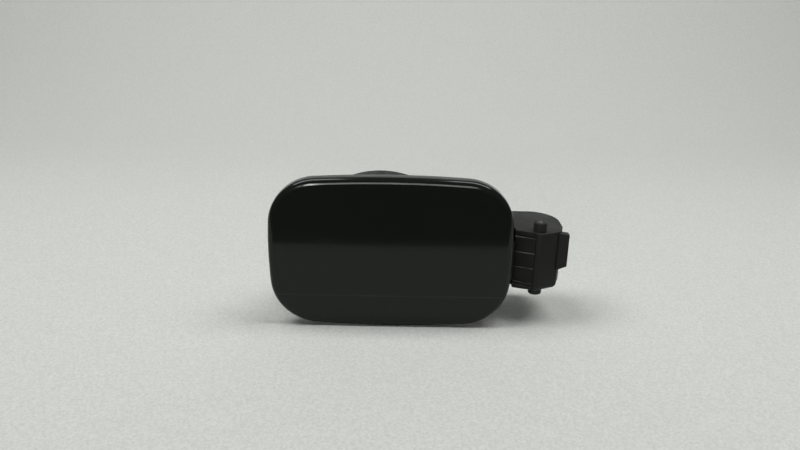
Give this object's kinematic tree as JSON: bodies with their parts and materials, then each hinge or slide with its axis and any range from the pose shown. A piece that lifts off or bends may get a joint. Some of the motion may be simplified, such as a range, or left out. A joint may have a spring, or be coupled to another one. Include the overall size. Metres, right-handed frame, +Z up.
{
  "type": "fuel filler flap unit",
  "caption": "Car fuel filler flap with rounded gloss black panel, hinged by a swan-neck arm on a steel pin to a moulded oval filler pocket with neck collar, lock bolt grommet and drain.",
  "frame": {"origin": "on the filler neck's axis, at the front face of the bowl's floor", "axes": "+X to the right seen from outside the car, +Y into the car along the neck, +Z up"},
  "size_m": [0.2227, 0.06, 0.1174],
  "materials": {
    "paint": "high gloss black paint",
    "black_plastic": "fine grained moulding",
    "arm_plastic": "glass filled, satin",
    "rubber": "soft matt",
    "steel": "zinc plated",
    "spring_steel": "bright strip",
    "clip_plastic": "natural nylon",
    "bush_plastic": "acetal"
  },
  "bodies": {
    "pocket": {"filler_pocket": "black_plastic", "hinge_housing": "black_plastic", "mouth_seal": "rubber", "neck_collar": "rubber", "lock_grommet": "rubber", "hinge_pin": "steel", "retaining_ring": "steel", "leaf_spring": "spring_steel"},
    "flap": {"outer_panel": "paint", "inner_frame": "black_plastic", "panel_clips": "clip_plastic", "lock_catch": "arm_plastic", "cap_holder": "arm_plastic", "flap_buffers": "rubber", "hinge_arm": "arm_plastic", "upper_bush": "bush_plastic", "lower_bush": "bush_plastic", "arm_screws": "steel", "arm_washers": "steel", "catch_screws": "steel"}
  },
  "joints": [
    {"name": "flap_hinge", "type": "hinge", "parent": "pocket", "child": "flap", "pos_m": [0.1194, -0.0313, 0], "axis": [0, 0, 1], "range_deg": [0, 90]}
  ]
}
